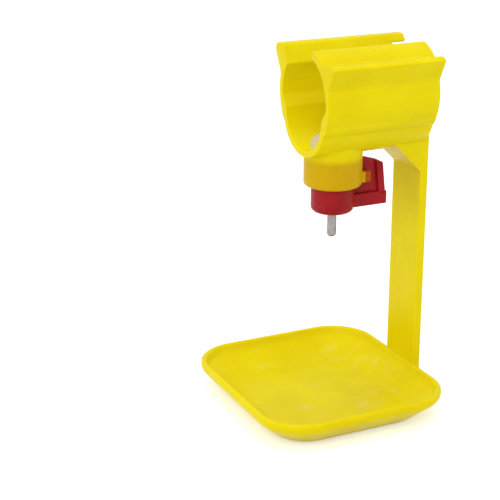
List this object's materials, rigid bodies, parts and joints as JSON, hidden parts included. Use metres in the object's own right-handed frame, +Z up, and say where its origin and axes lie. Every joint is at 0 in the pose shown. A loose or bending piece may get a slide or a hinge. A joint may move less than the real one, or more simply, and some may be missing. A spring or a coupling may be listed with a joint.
{
  "type": "poultry nipple drinker with drip tray",
  "caption": "Clip-on nipple drinker for a poultry water pipe: a yellow pipe clip on a post with a square drip tray, and a red twist-in valve with a steel trigger pin.",
  "frame": {"origin": "where the nipple's axis crosses the axis of the water pipe that the clip holds", "axes": "+X along the pipe towards the post, +Y to the back, +Z up, with the drip tray's base level"},
  "size_m": [0.0745, 0.0754, 0.1271],
  "materials": {
    "yellow_plastic": "glossy moulded yellow polypropylene",
    "red_plastic": "satin moulded red plastic",
    "white_plastic": "white acetal",
    "clear_silicone": "milky silicone rubber",
    "black_rubber": "black seal rubber",
    "stainless": "turned stainless steel"
  },
  "bodies": {
    "bracket": {"pipe_clip": "yellow_plastic", "nipple_collar": "yellow_plastic", "post": "yellow_plastic", "drip_tray": "yellow_plastic", "saddle_gasket": "clear_silicone", "inlet_washer": "black_rubber"},
    "nipple": {"valve_housing": "red_plastic", "inlet_spigot": "white_plastic", "seat_sleeve": "stainless", "metering_seal": "black_rubber", "trigger_seat": "black_rubber"},
    "metering": {"metering_pin": "stainless"},
    "trigger": {"trigger_pin": "stainless"}
  },
  "joints": [
    {"name": "nipple_turn", "type": "hinge", "parent": "bracket", "child": "nipple", "pos_m": [0, 0, -0.0256], "axis": [0, 0, 1], "range_deg": [0, 75]},
    {"name": "valve_lift", "type": "slide", "parent": "nipple", "child": "metering", "axis": [0, 0, 1], "range_m": [0, 0.001]},
    {"name": "trigger_tilt", "type": "hinge", "parent": "metering", "child": "trigger", "pos_m": [0, 0, -0.0284], "axis": [0, 1, 0], "range_deg": [-8, 8]}
  ]
}
